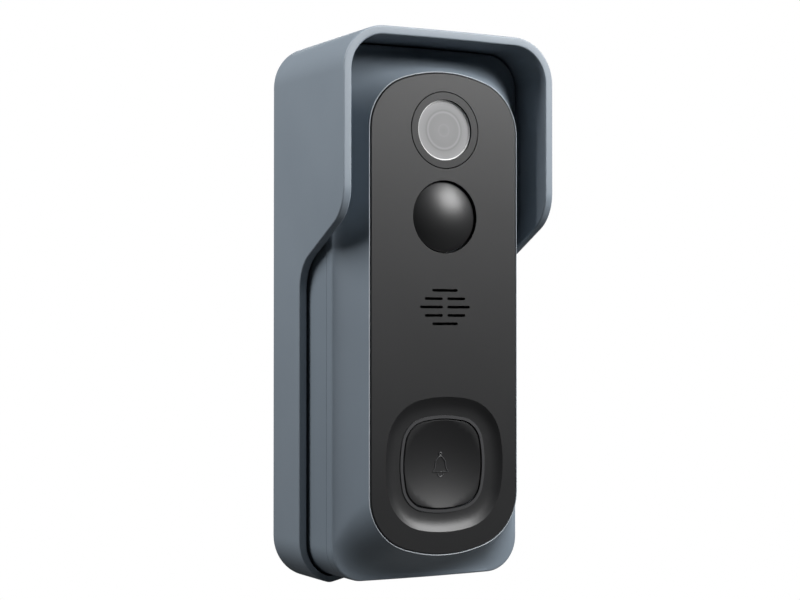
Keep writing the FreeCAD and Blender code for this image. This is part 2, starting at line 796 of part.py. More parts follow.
def battery_lead():
    """The insulated pair from the tray's upper end to the back of the main board."""
    start = cell_low + cell_length + 1.9
    bend = 4.0
    depth = cell_depth - 3.0
    x = -cell_pitch / 2
    top = start + 6.0
    down = Part.LineSegment(at(x, depth, start), at(x, depth, top - bend)).toShape()
    quarter = math.sqrt(0.5) * bend
    turn = arc_through(at(x, depth, top - bend), at(x, depth + bend - quarter, top - bend + quarter),
                       at(x, depth + bend, top))
    along = Part.LineSegment(at(x, depth + bend, top), at(x, board_back, top)).toShape()
    path = Part.Wire([down, turn, along])
    section = Part.Wire(Part.makeCircle(0.9, at(x, depth, start), UP))
    return path.makePipeShell([section], True, False)


def io_board():
    return box(-16.5, 16.5, io_depth, io_front, inner_low + 1.4, cell_low - 2.4)


def usb_socket():
    def block(half, d0, d1, z0, z1):
        return box(usb_x - half, usb_x + half, io_front + d0, io_front + d1, inner_low + z0, inner_low + z1)

    shell = block(4.4, 0, 3.2, 0.3, 7.6).cut(block(4.1, 0.3, 2.9, -1, 6.5))
    return fused(shell, block(3.3, 1.25, 1.95, 1.5, 7.0))


def card_slot():
    shell = box(-14.7, -2.7, io_front, io_front + 1.7, inner_low + 0.3, inner_low + 10.0)
    return shell.cut(box(-14.2, -3.2, io_front + 0.4, io_front + 1.4, inner_low - 1, inner_low + 9.0))


def reset_switch():
    block = box(reset_x - 2.2, reset_x + 2.2, io_front, io_front + 2.8, inner_low + 3.0, inner_low + 6.5)
    return block.cut(upright(reset_x, io_front + 1.4, 0.95, inner_low, inner_low + 4.2))


def reset_plunger():
    return upright(reset_x, io_front + 1.4, 0.85, inner_low + 0.6, inner_low + 3.8)


# ---- button -------------------------------------------------------------------------------------
def button_bezel():
    inner = squircle(button_half, plate_seat - 1, button_gap)
    ring_solid = slab(squircle(button_half, plate_seat, button_gap + bezel_width), bezel_top - plate_seat)
    return ring_solid.cut(slab(inner, 9))


def button_cap():
    solid = slab(squircle(button_half, flange_back), cap_top - flange_back)
    rim = [e for e in solid.Edges if abs(e.CenterOfMass.y + cap_top) < 1e-3]
    solid = solid.makeChamfer(0.25, rim)
    dish_radius = (button_half ** 2 + button_dish ** 2) / (2 * button_dish)
    ball = Part.makeSphere(dish_radius)
    ball.translate(at(0, cap_top - button_dish + dish_radius, button_height))
    solid = solid.cut(ball)
    flange = slab(squircle(button_half, flange_back, button_gap + flange_width), 0.9)
    roof = cap_top - button_dish - 1.3
    hollow = slab(squircle(button_half, flange_back - 1, -button_wall), roof - flange_back + 1)
    return fused(fused(solid, flange).cut(hollow),
                 disc(0, button_height, 2.2, stem_tip, roof + 0.3))


def button_seal():
    outer = slab(squircle(button_half, board_front, -0.3), flange_back - 0.9 - board_front)
    return outer.cut(slab(squircle(button_half, board_front - 1, -1.8), 20))


def tact_switch():
    block = box(-3, 3, board_front, board_front + 3.4, button_height - 3, button_height + 3)
    return block.cut(disc(0, button_height, 1.75, board_front + 1.8, board_front + 4))


def tact_plunger():
    return disc(0, button_height, 1.7, board_front + 2.7, plunger_top)


# ---- underside ----------------------------------------------------------------------------------
def port_cover():
    barrel = port_thick / 2
    hinge_depth = port_depth_high - barrel
    flap = box(-port_half, port_half, port_depth_low, hinge_depth, body_low, body_low + port_thick)
    corners = [e for e in flap.Edges if abs(e.tangentAt(e.FirstParameter).z) > 0.99
               and e.CenterOfMass.y > -port_depth_low - 1]
    flap = flap.makeFillet(1.0, corners)
    hinge = Part.makeCylinder(barrel, 2 * port_half, at(-port_half, hinge_depth, body_low + barrel),
                              V(1, 0, 0))
    plug = box(usb_x - 3.9, usb_x + 3.9, io_front + 0.3, io_front + 2.9,
               body_low + port_thick, inner_low - 0.05)
    nail_notch = box(-12, -7, port_depth_low - 1, port_depth_low + 0.8, body_low - 1, body_low + 0.5)
    return fused(flap, hinge, plug).cut(nail_notch)


def security_screw():
    head_top = locking_head_top()
    head_low = head_top - locking_head_tall
    head = upright(0, locking_screw_depth, locking_head, head_low, head_top)
    socket = upright(0, locking_screw_depth, 1.1, head_low - 1, head_low + 0.4)
    return fused(head.cut(socket), upright(0, locking_screw_depth, locking_shaft, head_top - 0.3, -65.0))


# ---- write --------------------------------------------------------------------------------------
PIECES = {
    "rain_cover": rain_cover,
    "mounting_bracket": mounting_bracket,
    "bracket_screws": bracket_screws,
    "rear_housing": rear_housing,
    "front_housing": front_housing,
    "housing_seal": seal_ring,
    "housing_screws": housing_screws,
    "face_plate": face_plate,
    "camera_bezel": camera_bezel,
    "camera_window": camera_window,
    "lens_barrel": lens_barrel,
    "front_lens": front_lens,
    "rear_lens": rear_lens,
    "lens_holder": lens_holder,
    "ir_cut_frame": ir_cut_frame,
    "ir_cut_blade": ir_cut_blade,
    "ir_cut_glass": ir_cut_glass,
    "image_sensor": image_sensor,
    "camera_board": camera_board,
    "camera_flex": camera_flex,
    "ir_led_board": ir_led_board,
    "ir_leds": ir_leds,
    "pir_lens": pir_lens,
    "pir_sensor": pir_sensor,
    "speaker_frame": speaker_frame,
    "speaker_magnet": speaker_magnet,
    "speaker_cone": speaker_cone,
    "speaker_gasket": speaker_gasket,
    "grille_mesh": grille_mesh,
    "mic_boot": mic_boot,
    "microphone": microphone,
    "main_board": main_board,
    "board_screws": board_screws,
    "soc_shield": soc_shield,
    "wifi_module": wifi_module,
    "antenna": antenna,
    "battery_cells": battery_cells,
    "battery_tray": battery_tray,
    "battery_contacts": battery_contacts,
    "battery_lead": battery_lead,
    "io_board": io_board,
    "usb_socket": usb_socket,
    "card_slot": card_slot,
    "reset_switch": reset_switch,
    "reset_plunger": reset_plunger,
    "button_bezel": button_bezel,
    "button_cap": button_cap,
    "button_seal": button_seal,
    "tact_switch": tact_switch,
    "tact_plunger": tact_plunger,
    "port_cover": port_cover,
    "security_screw": security_screw,
}

os.makedirs("parts", exist_ok=True)
for name, make in PIECES.items():
    shape = make()
    solids = shape.Solids
    good = shape.isValid() and all(s.isClosed() and s.Volume > 0 for s in solids)
    print(f"{name}: {len(solids)} solid(s), {shape.Volume:.1f} mm3{'' if good else '  NOT SOUND'}")
    shape.exportStep(f"parts/{name}.step")
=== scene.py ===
# %% [markdown]
# # A battery doorbell in its rain cover
#
# This notebook dresses a finished CAD model in Blender. The CAD gives every part its place and
# size in metres: +Z is up, +Y goes into the wall, and the wall is the plane Y = 0.
# We keep the CAD parts where they are and give them smooth shading, surface texture and light.

import json
import math

import bmesh
import bpy
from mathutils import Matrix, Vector


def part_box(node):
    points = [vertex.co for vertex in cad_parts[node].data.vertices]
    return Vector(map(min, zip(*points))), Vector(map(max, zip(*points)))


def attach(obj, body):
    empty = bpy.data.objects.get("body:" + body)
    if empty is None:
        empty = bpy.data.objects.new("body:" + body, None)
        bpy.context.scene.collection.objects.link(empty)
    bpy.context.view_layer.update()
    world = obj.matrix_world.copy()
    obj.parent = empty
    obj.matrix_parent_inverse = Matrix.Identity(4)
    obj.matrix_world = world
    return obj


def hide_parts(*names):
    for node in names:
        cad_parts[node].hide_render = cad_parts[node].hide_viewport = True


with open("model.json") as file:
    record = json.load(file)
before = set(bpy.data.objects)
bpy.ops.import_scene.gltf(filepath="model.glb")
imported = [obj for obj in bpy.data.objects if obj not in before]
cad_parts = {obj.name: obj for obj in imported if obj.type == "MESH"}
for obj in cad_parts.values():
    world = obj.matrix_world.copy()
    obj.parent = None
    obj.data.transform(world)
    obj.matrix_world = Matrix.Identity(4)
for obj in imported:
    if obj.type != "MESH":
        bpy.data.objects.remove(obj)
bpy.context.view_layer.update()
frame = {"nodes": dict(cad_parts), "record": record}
mm = 0.001
node_body = {n: b for b, names in frame["record"]["behaviour"]["bodies"].items() for n in names}
node_slot = {s["node"]: s["material_slot"] for s in frame["record"]["subparts"]}

# %% [markdown]
# ## The camera
#
# The doorbell is seen from its left, almost level, through a long lens, so its upright edges stay
# nearly parallel. We place the camera by a point and a direction, and turn it with
# `to_track_quat`.

# %% Camera
def new_object(name, data):
    """An object in the scene, at the origin until it is placed."""
    obj = bpy.data.objects.new(name, data)
    bpy.context.scene.collection.objects.link(obj)
    return obj


eye = Vector((-230.72, -441.53, -4.55)) * mm
look = Vector((0.47535, 0.87965, 0.01584)).normalized()
film_width, focal_length = 36.0, 78.44
nearest, farthest = 0.01, 20.0
camera_data = bpy.data.cameras.new("camera")
camera_data.sensor_width = film_width
camera_data.lens = focal_length
camera_data.clip_start, camera_data.clip_end = nearest, farthest
camera = new_object("camera", camera_data)
camera.location = eye
camera.rotation_euler = look.to_track_quat("-Z", "Y").to_euler()
bpy.context.scene.camera = camera
print("camera looks along", tuple(round(v, 3) for v in look))

# %% [markdown]
# ## Shared surface effects
#
# Moulded plastic is never mirror smooth. The mould is spark-eroded, which leaves a very fine,
# even pebble, and handling leaves faint soft patches that are a little shinier. Both effects turn
# up in most of our materials, so each one is a node group, made once: `mould_texture` gives a
# height for a Bump node and a roughness that varies, and `tone_drift` gives a colour that drifts.

# %% Small helpers for building node trees
def add_node(tree, kind, place=(0, 0), **values):
    node = tree.nodes.new(kind)
    node.location = place
    for key, value in values.items():
        setattr(node, key, value)
    return node


def set_inputs(node, values):
    """Values for a node's inputs, given as {input's name: value}."""
    for label, value in values.items():
        node.inputs[label].default_value = value


def group_tree(name, inputs, outputs):
    """A node group with float or colour inputs, given as {name: (kind, default)}."""
    tree = bpy.data.node_groups.new(name, "ShaderNodeTree")
    for label, (kind, default) in inputs.items():
        socket = tree.interface.new_socket(name=label, in_out="INPUT", socket_type=kind)
        socket.default_value = default
    for label, kind in outputs.items():
        tree.interface.new_socket(name=label, in_out="OUTPUT", socket_type=kind)
    group_in = add_node(tree, "NodeGroupInput", (-900, 0))
    group_out = add_node(tree, "NodeGroupOutput", (600, 0))
    return tree, group_in, group_out


def maths(tree, operation, a, b=None, place=(0, 0)):
    """A Math node. a and b are sockets or numbers."""
    node = add_node(tree, "ShaderNodeMath", place, operation=operation)
    for i, value in enumerate((a, b)):
        if isinstance(value, (int, float)):
            node.inputs[i].default_value = value
        elif value is not None:
            tree.links.new(value, node.inputs[i])
    return node.outputs[0]


def mix_colors(tree, factor, a, b, place=(0, 0)):
    """A Mix node for colours. a and b are sockets, or colours as tuples."""
    node = add_node(tree, "ShaderNodeMix", place, data_type="RGBA")
    # A Mix node has sockets for every kind of data, and several share a name, so the ones for
    # colours are reached by their number.
    factor_in, a_in, b_in, color_out = 0, 6, 7, 2
    tree.links.new(factor, node.inputs[factor_in])
    for i, value in ((a_in, a), (b_in, b)):
        if isinstance(value, tuple):
            node.inputs[i].default_value = value
        else:
            tree.links.new(value, node.inputs[i])
    return node.outputs[color_out]


# %% Group: mould texture
texture_tree, texture_in, texture_out = group_tree(
    "mould_texture",
    {"Grain size": ("NodeSocketFloat", 0.0004), "Roughness": ("NodeSocketFloat", 0.5),
     "Variation": ("NodeSocketFloat", 0.08)},
    {"Height": "NodeSocketFloat", "Roughness": "NodeSocketFloat"})
links = texture_tree.links
coordinates = add_node(texture_tree, "ShaderNodeTexCoord", (-900, -300))
frequency = maths(texture_tree, "DIVIDE", 1.0, texture_in.outputs["Grain size"], (-700, 100))
pebble = add_node(texture_tree, "ShaderNodeTexNoise", (-480, 150))
set_inputs(pebble, {"Detail": 3.0, "Roughness": 0.6})
links.new(coordinates.outputs["Object"], pebble.inputs["Vector"])
links.new(frequency, pebble.inputs["Scale"])
patches = add_node(texture_tree, "ShaderNodeTexNoise", (-480, -200))
set_inputs(patches, {"Scale": 55.0, "Detail": 4.0})
links.new(coordinates.outputs["Object"], patches.inputs["Vector"])
noise_middle = 0.5
spread = maths(texture_tree, "SUBTRACT", patches.outputs["Fac"], noise_middle, (-250, -200))
spread = maths(texture_tree, "MULTIPLY", spread, texture_in.outputs["Variation"], (-50, -200))
shine = maths(texture_tree, "ADD", spread, texture_in.outputs["Roughness"], (200, -200))
links.new(shine, texture_out.inputs["Roughness"])
links.new(pebble.outputs["Fac"], texture_out.inputs["Height"])
print("group", texture_tree.name, "with", len(texture_tree.nodes), "nodes")

# %% Group: tone drift
drift_tree, drift_in, drift_out = group_tree(
    "tone_drift",
    {"Color": ("NodeSocketColor", (0.5, 0.5, 0.5, 1)),
     "Second color": ("NodeSocketColor", (0.4, 0.4, 0.4, 1)),
     "Scale": ("NodeSocketFloat", 30.0)},
    {"Color": "NodeSocketColor"})
links = drift_tree.links
coordinates = add_node(drift_tree, "ShaderNodeTexCoord", (-900, -300))
clouds = add_node(drift_tree, "ShaderNodeTexNoise", (-600, -100))
set_inputs(clouds, {"Detail": 5.0})
links.new(coordinates.outputs["Object"], clouds.inputs["Vector"])
links.new(drift_in.outputs["Scale"], clouds.inputs["Scale"])
soften = add_node(drift_tree, "ShaderNodeMapRange", (-350, -100), interpolation_type="SMOOTHSTEP")
set_inputs(soften, {"From Min": 0.3, "From Max": 0.7})
links.new(clouds.outputs["Fac"], soften.inputs["Value"])
blend = mix_colors(drift_tree, soften.outputs["Result"], drift_in.outputs["Color"],
                   drift_in.outputs["Second color"])
links.new(blend, drift_out.inputs["Color"])
print("group", drift_tree.name, "with", len(drift_tree.nodes), "nodes")


# %% [markdown]
# ## Finishes
#
# Every finish starts from the same recipe: a Principled shader, whose colour comes from
# `tone_drift` and whose roughness and bump come from `mould_texture`. What sets one plastic apart
# from another is the grain size, how deep it is, and how shiny the skin is.

# %% The recipe for a plain finish
darker = 0.88


def finish_of(name, color, second=None, roughness=0.5, variation=0.08, grain=0.4, depth=0.01,
              metallic=0.0, specular=0.5, drift=30.0):
    """Grain and depth are in millimetres. A second colour that isn't given is a shade darker."""
    material = bpy.data.materials.new(name)
    material.use_nodes = True
    tree = material.node_tree
    shader = tree.nodes["Principled BSDF"]
    second = second or [c * darker for c in color]
    tone = add_node(tree, "ShaderNodeGroup", (-500, 250), node_tree=drift_tree)
    set_inputs(tone, {"Color": (*color, 1), "Second color": (*second, 1), "Scale": drift})
    texture = add_node(tree, "ShaderNodeGroup", (-500, -50), node_tree=texture_tree)
    set_inputs(texture, {"Grain size": grain * mm, "Roughness": roughness, "Variation": variation})
    bump = add_node(tree, "ShaderNodeBump", (-250, -250))
    set_inputs(bump, {"Strength": 1.0, "Distance": depth * mm})
    tree.links.new(tone.outputs["Color"], shader.inputs["Base Color"])
    tree.links.new(texture.outputs["Roughness"], shader.inputs["Roughness"])
    tree.links.new(texture.outputs["Height"], bump.inputs["Height"])
    tree.links.new(bump.outputs["Normal"], shader.inputs["Normal"])
    set_inputs(shader, {"Metallic": metallic, "Specular IOR Level": specular})
    return material


# %% Finishes of the outside
finishes = {
    "cover_plastic": finish_of("cover_plastic", (0.198, 0.232, 0.268), (0.186, 0.219, 0.254),
                               roughness=0.42, grain=0.22, depth=0.012),
    "housing_plastic": finish_of("housing_plastic", (0.178, 0.212, 0.247), (0.168, 0.200, 0.234),
                                 roughness=0.40, grain=0.22, depth=0.010),
    "plate_black": finish_of("plate_black", (0.010, 0.010, 0.0105), (0.0085, 0.0085, 0.009),
                             roughness=0.42, variation=0.05, grain=0.15, depth=0.004, specular=0.44),
    "bezel_black": finish_of("bezel_black", (0.009, 0.009, 0.0095), roughness=0.42, grain=0.15,
                             depth=0.003, specular=0.40),
    "bezel_ring": finish_of("bezel_ring", (0.050, 0.050, 0.052), roughness=0.3, grain=0.15,
                            depth=0.003),
    "button_black": finish_of("button_black", (0.008, 0.008, 0.0085), roughness=0.46, grain=0.15,
                              depth=0.004, specular=0.38),
    "dome_plastic": finish_of("dome_plastic", (0.012, 0.012, 0.0125), roughness=0.42, variation=0.03,
                              grain=0.2, depth=0.002),
    "port_rubber": finish_of("port_rubber", (0.075, 0.09, 0.105), roughness=0.65, grain=0.3,
                             depth=0.02),
    "seal_rubber": finish_of("seal_rubber", (0.02, 0.02, 0.02), roughness=0.7, grain=0.3, depth=0.02),
    "silicone": finish_of("silicone", (0.2, 0.2, 0.2), roughness=0.6, grain=0.3, depth=0.01),
}
print(len(finishes), "finishes for the outside")

# %% [markdown]
# ## Finishes hidden inside
#
# Slide the doorbell off its bracket and the wall side shows, and a repairer sees the rest. Metal
# parts are drawn or rolled, so their grain is stretched in one direction: a noise that changes
# slowly along one axis and fast across it gives fine parallel lines.

# %% Brushed metal
def metal_of(name, color, rates=(40, 900, 900)):
    """rates says how fast the grain changes along X, Y and Z."""
    material = finish_of(name, color, roughness=0.32, metallic=1.0, grain=0.2, depth=0.002)
    tree = material.node_tree
    bump = next(n for n in tree.nodes if n.type == "BUMP")
    coordinates = add_node(tree, "ShaderNodeTexCoord", (-1000, -300))
    stretch = add_node(tree, "ShaderNodeMapping", (-800, -300))
    set_inputs(stretch, {"Scale": rates})
    lines = add_node(tree, "ShaderNodeTexNoise", (-600, -300))
    set_inputs(lines, {"Scale": 4.0, "Detail": 2.0})
    tree.links.new(coordinates.outputs["Object"], stretch.inputs["Vector"])
    tree.links.new(stretch.outputs["Vector"], lines.inputs["Vector"])
    tree.links.new(lines.outputs["Fac"], bump.inputs["Height"])
    return material


# %% Finishes of the inside
finishes.update({
    "screw_steel": metal_of("screw_steel", (0.42, 0.42, 0.43)),
    "shield_metal": metal_of("shield_metal", (0.6, 0.6, 0.6)),
    "magnet_metal": metal_of("magnet_metal", (0.35, 0.35, 0.36)),
    "mesh_metal": metal_of("mesh_metal", (0.04, 0.04, 0.04), rates=(900, 900, 900)),
    "contact_metal": metal_of("contact_metal", (0.6, 0.48, 0.22)),
    "bracket_plastic": finish_of("bracket_plastic", (0.03, 0.032, 0.035), roughness=0.55,
                                 grain=0.3, depth=0.015),
    "barrel_black": finish_of("barrel_black", (0.015, 0.015, 0.015), roughness=0.6, depth=0.01),
    "board_green": finish_of("board_green", (0.015, 0.09, 0.045), (0.02, 0.13, 0.06), roughness=0.35,
                             drift=400.0, grain=0.6, depth=0.01),
    "flex_film": finish_of("flex_film", (0.42, 0.18, 0.03), roughness=0.35, depth=0.003),
    "chip_black": finish_of("chip_black", (0.012, 0.012, 0.014), roughness=0.5, depth=0.006),
    "cell_wrap": finish_of("cell_wrap", (0.03, 0.12, 0.3), roughness=0.28, depth=0.003),
    "wire_cover": finish_of("wire_cover", (0.3, 0.015, 0.015), roughness=0.4, depth=0.003),
    "cone_film": finish_of("cone_film", (0.05, 0.05, 0.05), roughness=0.5, depth=0.01),
    "led_clear": finish_of("led_clear", (0.45, 0.42, 0.3), roughness=0.2, depth=0.002),
})
print(len(finishes), "finishes so far")

# %% [markdown]
# ## The grey camera window
#
# The window in front of the lens looks pale grey, with soft rings round its middle where the lens
# barrel shows through the tint. Real glass in front of a dark barrel would render almost black, so the
# rings are painted: the distance from the window's centre drives a colour ramp. The rings follow the
# barrel's shape, but their pale brightness is a painted reflection, put into the glass's colour.

# %% Window finish
# Each stop is a share of the window's radius and how bright the glass is there, as a painted
# reflection rather than the glass's own colour.
painted_ring_stops = [(0.0, 0.26), (0.14, 0.27), (0.19, 0.29), (0.25, 0.27), (0.54, 0.26), (0.60, 0.33),
              (0.66, 0.24), (0.72, 0.29), (0.84, 0.31), (0.93, 0.33), (1.0, 0.30)]
window_tint = (0.88, 0.88, 0.89)


def window_finish():
    low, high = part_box("camera_window")
    centre = (low + high) / 2
    radius = (high.x - low.x) / 2
    material = finish_of("window_grey", (0.4, 0.4, 0.4), roughness=0.22, variation=0.04, grain=0.3,
                         depth=0.001)
    tree = material.node_tree
    shader = tree.nodes["Principled BSDF"]
    coordinates = add_node(tree, "ShaderNodeTexCoord", (-1300, 400))
    to_centre = add_node(tree, "ShaderNodeMapping", (-1100, 400))
    set_inputs(to_centre, {"Location": (-centre.x / radius, 0, -centre.z / radius),
                           "Scale": (1 / radius, 0, 1 / radius)})
    distance = add_node(tree, "ShaderNodeVectorMath", (-900, 400), operation="LENGTH")
    # The ramp paints the reflection's brightness into the base colour.
    rings = add_node(tree, "ShaderNodeValToRGB", (-700, 400))
    ramp = rings.color_ramp
    ramp.interpolation = "EASE"
    while len(ramp.elements) < len(painted_ring_stops):
        ramp.elements.new(0.5)
    for element, (position, brightness) in zip(ramp.elements, painted_ring_stops):
        element.position = position
        element.color = (*(share * brightness for share in window_tint), 1)
    tree.links.new(coordinates.outputs["Object"], to_centre.inputs["Vector"])
    tree.links.new(to_centre.outputs["Vector"], distance.inputs[0])
    tree.links.new(distance.outputs["Value"], rings.inputs["Fac"])
    tree.links.new(rings.outputs["Color"], shader.inputs["Base Color"])
    set_inputs(shader, {"Coat Weight": 0.6, "Coat Roughness": 0.04})
    return material


finishes["window_grey"] = window_finish()
print("window finish with", len(painted_ring_stops), "ring stops")

# %% Lens glass
lens_glass = finish_of("lens_glass", (0.10, 0.13, 0.2), roughness=0.05, variation=0.02, depth=0.001)
set_inputs(lens_glass.node_tree.nodes["Principled BSDF"], {"Transmission Weight": 0.6, "IOR": 1.6})
finishes["lens_glass"] = lens_glass
missing = sorted(set(node_slot.values()) - set(finishes))
print("slots without a finish:", missing)


# %% [markdown]
# ## From CAD triangles to smooth pieces
#
# A CAD node arrives as loose triangles with flat shading. To shade it smoothly we copy it, weld
# the doubled corners, and mark an edge as sharp only where two faces meet at a real corner.
# The copy then stands for the node. The pieces that aren't copied keep their CAD mesh and only
# get a finish.

# %% Smooth copies
weld_gap, sliver = 0.002 * mm, 0.001 * mm
corner_angle = math.radians(24)


def smooth_copy(node):
    mesh = frame["nodes"][node].data.copy()
    mesh.name = node + "_smooth"
    work = bmesh.new()
    work.from_mesh(mesh)
    bmesh.ops.remove_doubles(work, verts=work.verts, dist=weld_gap)
    bmesh.ops.dissolve_degenerate(work, edges=work.edges, dist=sliver)
    for face in work.faces:
        face.smooth = True
    for edge in work.edges:
        # Where a face is too thin to have a direction, the angle counts as a half turn.
        edge.smooth = len(edge.link_faces) == 2 and edge.calc_face_angle(math.pi) < corner_angle
    work.to_mesh(mesh)
    work.free()
    mesh.materials.clear()
    mesh.materials.append(finishes[node_slot[node]])
    piece = new_object(mesh.name, mesh)
    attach(piece, node_body[node])
    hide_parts(node)
    return piece


smoothed = ["rain_cover", "rear_housing", "front_housing", "face_plate", "camera_bezel",
            "camera_window", "pir_lens", "button_bezel", "button_cap", "port_cover",
            "security_screw", "mounting_bracket", "bracket_screws", "housing_screws",
            "battery_cells", "front_lens", "lens_barrel"]
pieces = {node: smooth_copy(node) for node in smoothed}
for node, obj in frame["nodes"].items():
    if node not in pieces:
        obj.data.materials.clear()
        obj.data.materials.append(finishes[node_slot[node]])
print(len(pieces), "smooth pieces,", len(frame["nodes"]) - len(pieces), "kept CAD nodes")

# %% [markdown]
# ## Fine raised lines
#
# Three details are thin lines: the bright edge where the housing closes round the black plate, the
# pale rim of the camera window and the bell on the push button. The bright edge and the pale rim are
# painted highlights: pale beads whose colour stands in for light caught by an edge. Each is a round
# bead that follows a path, which is what Geometry Nodes do well: the tree sweeps a small circle along
# a curve, and its inputs set the bead's size.

# %% A Geometry Nodes tree that lays a bead along a curve
def bead_tree():
    tree = bpy.data.node_groups.new("bead_along_path", "GeometryNodeTree")
    tree.interface.new_socket(name="Geometry", in_out="INPUT", socket_type="NodeSocketGeometry")
    size = tree.interface.new_socket(name="Bead radius", in_out="INPUT", socket_type="NodeSocketFloat")
    sides = tree.interface.new_socket(name="Bead sides", in_out="INPUT", socket_type="NodeSocketInt")
    finish = tree.interface.new_socket(name="Finish", in_out="INPUT", socket_type="NodeSocketMaterial")
    tree.interface.new_socket(name="Geometry", in_out="OUTPUT", socket_type="NodeSocketGeometry")
    start = add_node(tree, "NodeGroupInput", (-700, 0))
    circle = add_node(tree, "GeometryNodeCurvePrimitiveCircle", (-500, -200))
    sweep = add_node(tree, "GeometryNodeCurveToMesh", (-250, 0))
    smooth = add_node(tree, "GeometryNodeSetShadeSmooth", (-50, 0))
    real = add_node(tree, "GeometryNodeRealizeInstances", (150, 0))
    paint = add_node(tree, "GeometryNodeSetMaterial", (350, 0))
    end = add_node(tree, "NodeGroupOutput", (550, 0))
    set_inputs(sweep, {"Fill Caps": True})
    tree.links.new(start.outputs["Bead radius"], circle.inputs["Radius"])
    tree.links.new(start.outputs["Bead sides"], circle.inputs["Resolution"])
    tree.links.new(start.outputs["Geometry"], sweep.inputs["Curve"])
    tree.links.new(circle.outputs["Curve"], sweep.inputs["Profile Curve"])
    tree.links.new(sweep.outputs["Mesh"], smooth.inputs["Geometry"])
    tree.links.new(smooth.outputs["Geometry"], real.inputs["Geometry"])
    tree.links.new(real.outputs["Geometry"], paint.inputs["Geometry"])
    tree.links.new(start.outputs["Finish"], paint.inputs["Material"])
    tree.links.new(paint.outputs["Geometry"], end.inputs["Geometry"])
    return tree, {"size": size.identifier, "sides": sides.identifier, "finish": finish.identifier}


bead_nodes, bead_input = bead_tree()
print("tree", bead_nodes.name, "with", len(bead_nodes.nodes), "nodes")


# %% From a live modifier to a plain piece
def baked_mesh(name, maker):
    """The evaluated object as one plain mesh, with its faces turned outwards."""
    bpy.context.view_layer.update()
    evaluated = maker.evaluated_get(bpy.context.evaluated_depsgraph_get())
    mesh = bpy.data.meshes.new_from_object(evaluated)
    bpy.data.objects.remove(maker)
    work = bmesh.new()
    work.from_mesh(mesh)
    bmesh.ops.recalc_face_normals(work, faces=work.faces)
    work.to_mesh(mesh)
    work.free()
    mesh.name = name
    return mesh


def bead_piece(name, paths, radius, finish, body, sides=8):
    """paths is a list of (points, closed). The result is one plain mesh that rides on the body."""
    curve = bpy.data.curves.new(name, "CURVE")
    curve.dimensions = "3D"
    for points, closed in paths:
        spline = curve.splines.new("POLY")
        spline.points.add(len(points) - 1)
        for target, point in zip(spline.points, points):
            target.co = (*point, 1)
        spline.use_cyclic_u = closed
    maker = new_object(name + "_path", curve)
    modifier = maker.modifiers.new("bead", "NODES")
    modifier.node_group = bead_nodes
    modifier[bead_input["size"]] = radius
    modifier[bead_input["sides"]] = sides
    modifier[bead_input["finish"]] = finish
    piece = new_object(name, baked_mesh(name, maker))
    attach(piece, body)
    return piece


# %% [markdown]
# ## A painted highlight round the plate
#
# The plate's outline has straight sides, four round corners and gently arched ends. The same rule that
# drew the CAD outline gives the path here, a little outside the plate. The bead's pale grey is a
# painted highlight, standing in for light caught by the bevelled edge of the plate.

# %% Plate edge
def arched_outline(half, low, high, corner, crown, y, steps=16):
    """Points of the outline, from the right side's top corner over the top and round the foot."""
    across = half - corner
    up = math.sqrt((crown - corner) ** 2 - across ** 2)
    lean = math.atan2(across, up)
    quarter = []
    for i in range(steps + 1):
        a = math.pi / 2 + (lean - math.pi / 2) * i / steps
        quarter.append((across + corner * math.sin(a), up - crown + corner * math.cos(a)))
    for i in range(1, steps + 1):
        a = lean * (1 - i / steps)
        quarter.append((crown * math.sin(a), crown * math.cos(a) - crown))
    top = quarter + [(-x, z) for x, z in reversed(quarter[:-1])]
    points = [Vector((x, y, high + z)) for x, z in top]
    return points + [Vector((-x, y, low - z)) for x, z in top]


plate_low, plate_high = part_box("face_plate")
land_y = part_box("front_housing")[0].y
plate_corner, plate_crown = 14.4 * mm, 38.0 * mm
outside_by, edge_bead = 0.2 * mm, 0.15 * mm
edge_path = arched_outline(plate_high.x + outside_by, plate_low.z - outside_by,
                           plate_high.z + outside_by, plate_corner + outside_by,
                           plate_crown + outside_by, land_y)
# Painted highlight: this pale grey stands in for light caught by the plate's bevelled edge.
finishes["trim_line"] = finish_of("trim_line", (0.33, 0.36, 0.39), roughness=0.38, grain=0.15,
                                  depth=0.002)
plate_highlight_edge = bead_piece("plate_highlight_edge", [(edge_path, True)], edge_bead, finishes["trim_line"],
                        "doorbell")
print("plate edge:", len(edge_path), "points,", len(plate_highlight_edge.data.polygons), "faces")

# %% [markdown]
# ## The wire mesh behind the sound slots
#
# A fine wire mesh keeps insects and water out of the speaker. The CAD has a plain disc there. We
# lay real wires instead: one straight wire is repeated on a row of points, and each copy is
# stretched to the chord of the circle at its place. The same set, turned a quarter round and
# moved by one wire, makes the other direction.

# %% Steps of the wire mesh tree
def row_of_points(tree, given):
    """A point for each wire, in a row along X with its middle at the origin."""
    gaps = maths(tree, "SUBTRACT", given["Wires"], 1.0, (-1300, 400))
    row_length = maths(tree, "MULTIPLY", gaps, given["Pitch"], (-1150, 400))
    start_x = maths(tree, "MULTIPLY", row_length, -0.5, (-1000, 400))
    first = add_node(tree, "ShaderNodeCombineXYZ", (-850, 300))
    step = add_node(tree, "ShaderNodeCombineXYZ", (-850, 100))
    row = add_node(tree, "GeometryNodeMeshLine", (-650, 200), mode="OFFSET")
    tree.links.new(start_x, first.inputs["X"])
    tree.links.new(given["Pitch"], step.inputs["X"])
    tree.links.new(given["Wires"], row.inputs["Count"])
    tree.links.new(first.outputs["Vector"], row.inputs["Start Location"])
    tree.links.new(step.outputs["Vector"], row.inputs["Offset"])
    return row.outputs["Mesh"]


